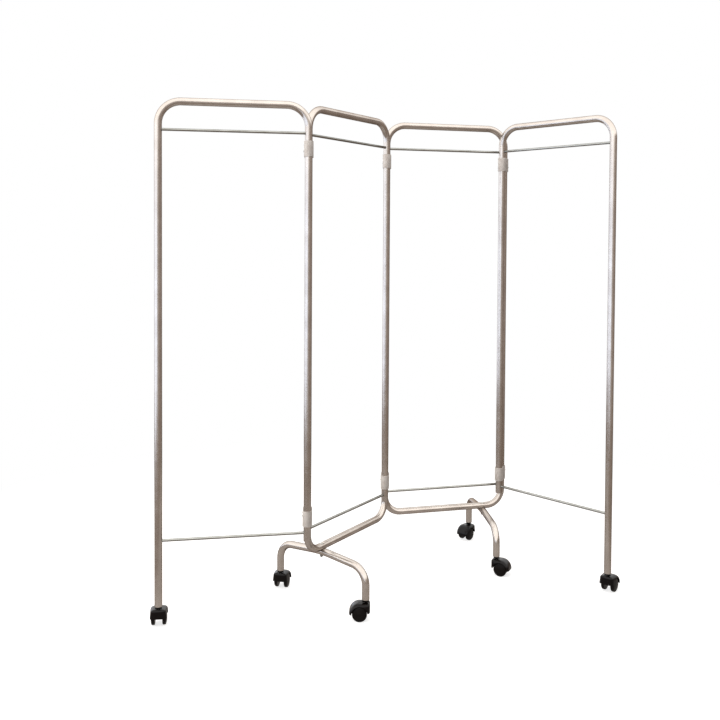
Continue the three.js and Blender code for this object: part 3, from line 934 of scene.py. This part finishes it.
# Leaves with their rods
for leaf in "abcd":
    body = f"leaf_{leaf}"
    matrix = placing(leaf_starts[leaf], LEAF_HEADINGS[leaf])
    if leaf in "ad":
        outer_leaf(leaf, matrix)
    else:
        arch_matrix = inner_leaf(leaf, matrix)
        caster_spots[f"{leaf}_rear"] = arch_matrix @ Vector((ARCH_SPAN / 2, 0, 0))
        caster_spots[f"{leaf}_front"] = arch_matrix @ Vector((-ARCH_SPAN / 2, 0, 0))
    for level in ROD_HEIGHTS:
        put(moved(rod(level), matrix), f"{body}_{level}_drawn_rod", "bright_chrome", body,
            f"{body}_{level}_rod")

# Hinge sleeves with their screws
sleeve = hinge_sleeve()
for hinge, heading in HINGE_HEADINGS.items():
    middle = (leaf_ends[hinge[0]] + leaf_starts[hinge[1]]) / 2
    matrix = placing(middle, heading)
    body = f"link_{hinge}"
    for level, height in HINGE_HEIGHTS.items():
        put(copy_of(sleeve, matrix @ shift(0, 0, height)), f"hinge_{hinge}_{level}_moulding",
            "grey_plastic", body, f"hinge_{hinge}_{level}_sleeve")
    put(hinge_screws(matrix), f"hinge_{hinge}_screws", "zinc_steel", body, sharp=28)

# Casters. Each axle is hidden in its hood, so the CAD's own stays and gets its finish
hood = caster_hood()
wheels = {"left": caster_wheel(1), "right": caster_wheel(-1)}
stem = caster_stem()
insert = caster_insert()
for name, heading in CASTER_HEADINGS.items():
    body = f"caster_{name}"
    matrix = placing(caster_spots[name], heading)
    put(copy_of(hood, matrix), f"{body}_hood", "black_nylon", body, f"{body}_housing")
    put(copy_of(stem, matrix), f"{body}_turned_stem", "zinc_steel", body, f"{body}_stem")
    put(copy_of(insert, matrix), f"{body}_tube_insert", "dark_plastic", f"leaf_{name[0]}",
        f"{body}_insert")
    for side, wheel in wheels.items():
        put(copy_of(wheel, matrix), f"{body}_{side}_rim", "black_tread", f"{body}_{side}",
            f"{body}_{side}_wheel", sharp=30)
    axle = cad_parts[f"{body}_axle"]
    axle.data.materials.clear()
    axle.data.materials.append(FINISHES["zinc_steel"])
for spare in (sleeve, PAN_HEAD, hood, stem, insert, *wheels.values()):
    bpy.data.objects.remove(spare)


# Floor, light and camera. The studio shows in reflections only
FLOOR_REACH = 3.4
FLOOR_DROP = 0.5 * MM
FLOOR_LIFT = 0.72
FLOOR_FADE = (1.1, 2.2)
SHEET_FADE = (0.9, 1.5)
STUDIO_TURN = 10.9
STUDIO_WINDOW = (2.2, 2.45, 2.9, 1)
STUDIO_WALL = (0.79, 0.73, 0.7, 1)
STUDIO_CORNER = (0.48, 0.38, 0.32, 1)
STUDIO_CEILING = (2.7, 2.65, 2.6, 1)
STUDIO_REAR = (2.0, 2.0, 2.0, 1)
STUDIO_FLOOR = {"near": (0.7, 0.63, 0.58, 1), "far": (0.42, 0.33, 0.27, 1)}
SKY_ON_SURFACES = (0.5, 0.5, 0.5, 1)

# Where one part of the studio gives way to the next, in the components of a ray's direction
WALL_SPAN = (0.0, 1.0)
WINDOW_SPAN = (-0.28, -0.1)
CEILING_SPAN = (-0.2, 0.8)
CEILING_EDGE_SPAN = (0.0, 0.2)
RIGHT_SPAN = (0.1, 0.5)
WALL_RISE_ON_RIGHT = 0.17


def pale_floor():
    """White to the camera, with the soft shadow of the screen left on it near the feet."""
    material, tree, shader = new_material(
        "pale_floor", Base_Color=srgb("#cbc7c4"), Roughness=0.9, Specular_IOR_Level=0.1,
        Emission_Color=WHITE)
    path = add_node(tree, "ShaderNodeLightPath")
    lift = add_node(tree, "ShaderNodeMath", {
        0: path.outputs["Is Camera Ray"], 1: FLOOR_LIFT}, operation="MULTIPLY")
    tree.links.new(lift.outputs[0], shader.inputs["Emission Strength"])
    place = add_node(tree, "ShaderNodeTexCoord").outputs["Object"]
    distance = add_node(tree, "ShaderNodeVectorMath", {0: place}, operation="LENGTH")
    far, off_sheet = [add_node(tree, "ShaderNodeMapRange", {
        "Value": distance.outputs["Value"], "From Min": start, "From Max": end,
    }, interpolation_type="SMOOTHSTEP").outputs[0] for start, end in (FLOOR_FADE, SHEET_FADE)]
    # Away from the screen the floor runs out into plain white, so no horizon shows
    share = add_node(tree, "ShaderNodeMath", {
        0: far, 1: path.outputs["Is Camera Ray"]}, operation="MULTIPLY")
    white = add_node(tree, "ShaderNodeEmission", {"Color": WHITE, "Strength": 1.0})
    seen = add_node(tree, "ShaderNodeMixShader", {
        0: share.outputs[0], 1: shader.outputs[0], 2: white.outputs[0]})
    # In reflections the floor is a plain brown one around a paler sheet
    brown = add_node(tree, "ShaderNodeMix", {
        0: off_sheet, COLOUR_A: STUDIO_FLOOR["near"], COLOUR_B: STUDIO_FLOOR["far"],
    }, data_type="RGBA")
    mirrored = add_node(tree, "ShaderNodeEmission", {"Color": brown.outputs[MIXED_COLOUR]})
    mix = add_node(tree, "ShaderNodeMixShader", {
        0: path.outputs["Is Glossy Ray"], 1: seen.outputs[0], 2: mirrored.outputs[0]})
    tree.links.new(mix.outputs[0], tree.nodes["Material Output"].inputs["Surface"])
    return material


def white_room():
    """World: white to the camera, soft light on surfaces, and a studio in reflections.

    The studio is a wide bright window on the left and above, a dim warm wall on the right
    and behind the camera, and a brown floor.
    """
    world = bpy.data.worlds.new("white room")
    world.use_nodes = True
    tree = world.node_tree
    tree.nodes.clear()
    facing = add_node(tree, "ShaderNodeNewGeometry").outputs["Incoming"]
    outward = add_node(tree, "ShaderNodeVectorMath", {0: facing, "Scale": -1.0},
                       operation="SCALE")
    # Turned so that -X lies square to the camera's left
    turned = add_node(tree, "ShaderNodeVectorRotate", {
        "Vector": outward.outputs[0], "Angle": math.radians(STUDIO_TURN)},
        rotation_type="Z_AXIS")
    parts = add_node(tree, "ShaderNodeSeparateXYZ", {0: turned.outputs[0]})

    def blended(value, span, before, after):
        share = add_node(tree, "ShaderNodeMapRange", {
            "Value": value, "From Min": span[0], "From Max": span[1],
        }, interpolation_type="SMOOTHSTEP")
        return add_node(tree, "ShaderNodeMix", {
            0: share.outputs[0], COLOUR_A: before, COLOUR_B: after,
        }, data_type="RGBA").outputs[MIXED_COLOUR]

    wall = blended(parts.outputs["X"], WALL_SPAN, STUDIO_WALL, STUDIO_CORNER)
    sides = blended(parts.outputs["X"], WINDOW_SPAN, STUDIO_WINDOW, wall)
    ceiling = blended(parts.outputs["Y"], CEILING_SPAN, STUDIO_CEILING, STUDIO_REAR)
    # On the right the wall reaches higher before the ceiling begins
    rise = add_node(tree, "ShaderNodeMapRange", {
        "Value": parts.outputs["X"], "From Min": RIGHT_SPAN[0], "From Max": RIGHT_SPAN[1],
        "To Max": -WALL_RISE_ON_RIGHT,
    })
    height = add_node(tree, "ShaderNodeMath", {0: parts.outputs["Z"], 1: rise.outputs[0]})
    room = blended(height.outputs[0], CEILING_EDGE_SPAN, sides, ceiling)
    path = add_node(tree, "ShaderNodeLightPath")
    mirror = add_node(tree, "ShaderNodeMix", {
        0: path.outputs["Is Glossy Ray"], COLOUR_A: SKY_ON_SURFACES, COLOUR_B: room,
    }, data_type="RGBA")
    clear = add_node(tree, "ShaderNodeMath", {
        0: path.outputs["Is Camera Ray"], 1: path.outputs["Is Transmission Ray"],
    }, operation="MAXIMUM")
    colour = add_node(tree, "ShaderNodeMix", {
        0: clear.outputs[0], COLOUR_A: mirror.outputs[MIXED_COLOUR], COLOUR_B: WHITE,
    }, data_type="RGBA")
    light = add_node(tree, "ShaderNodeBackground", {
        "Color": colour.outputs[MIXED_COLOUR], "Strength": 1.0,
    })
    add_node(tree, "ShaderNodeOutputWorld", {"Surface": light.outputs[0]})
    bpy.context.scene.world = world


def soft_lamp(name, spot, target, size, power, colour):
    """A rectangular area lamp that no reflection shows."""
    lamp = bpy.data.lights.new(name, "AREA")
    lamp.shape = "RECTANGLE"
    lamp.size, lamp.size_y = size
    lamp.energy = power
    lamp.color = srgb(colour)[:3]
    obj = new_object(name, lamp)
    obj.location = spot
    obj.rotation_euler = (Vector(target) - Vector(spot)).to_track_quat("-Z", "Y").to_euler()
    obj.visible_glossy = False


floor = from_faces("floor", [
    (x * FLOOR_REACH, y * FLOOR_REACH, 0) for x, y in ((-1, -1), (1, -1), (1, 1), (-1, 1))
], [(0, 1, 2, 3)])
floor.location.z = -FLOOR_DROP
floor.data.materials.append(pale_floor())
white_room()
soft_lamp("window left", spot=(-3.6, -1.2, 1.6), target=(0, 0, 0.9), size=(2.6, 3.0), power=110,
          colour="#fbfdff")
soft_lamp("ceiling", spot=(-0.4, -0.8, 3.6), target=(0, 0, 0), size=(3.0, 2.4), power=60,
          colour="#ffffff")

# The photograph was cropped off its centre, so the lens is shifted by that much
FOCAL_PIXELS = 858.2
IMAGE_PIXELS = 720
CENTRE_PIXELS = (365.8, 262.9)
SENSOR_WIDTH = 36
CAMERA_FROM_FIRST_LEG = Vector((0.1245, -2.8246, 1.2614))
CAMERA_HEADING, CAMERA_PITCH, CAMERA_ROLL = -11.089, -1.609, 0.33
lens = bpy.data.cameras.new("camera")
lens.sensor_width = SENSOR_WIDTH
lens.lens = FOCAL_PIXELS / IMAGE_PIXELS * SENSOR_WIDTH
lens.shift_x = (IMAGE_PIXELS / 2 - CENTRE_PIXELS[0]) / IMAGE_PIXELS
lens.shift_y = (CENTRE_PIXELS[1] - IMAGE_PIXELS / 2) / IMAGE_PIXELS
camera = new_object("camera", lens)
camera.matrix_world = (placing(first_leg + CAMERA_FROM_FIRST_LEG, CAMERA_HEADING)
                       @ turn(90 + CAMERA_PITCH, "X") @ turn(CAMERA_ROLL, "Z"))
bpy.context.scene.camera = camera
bpy.context.scene.view_settings.view_transform = "Standard"
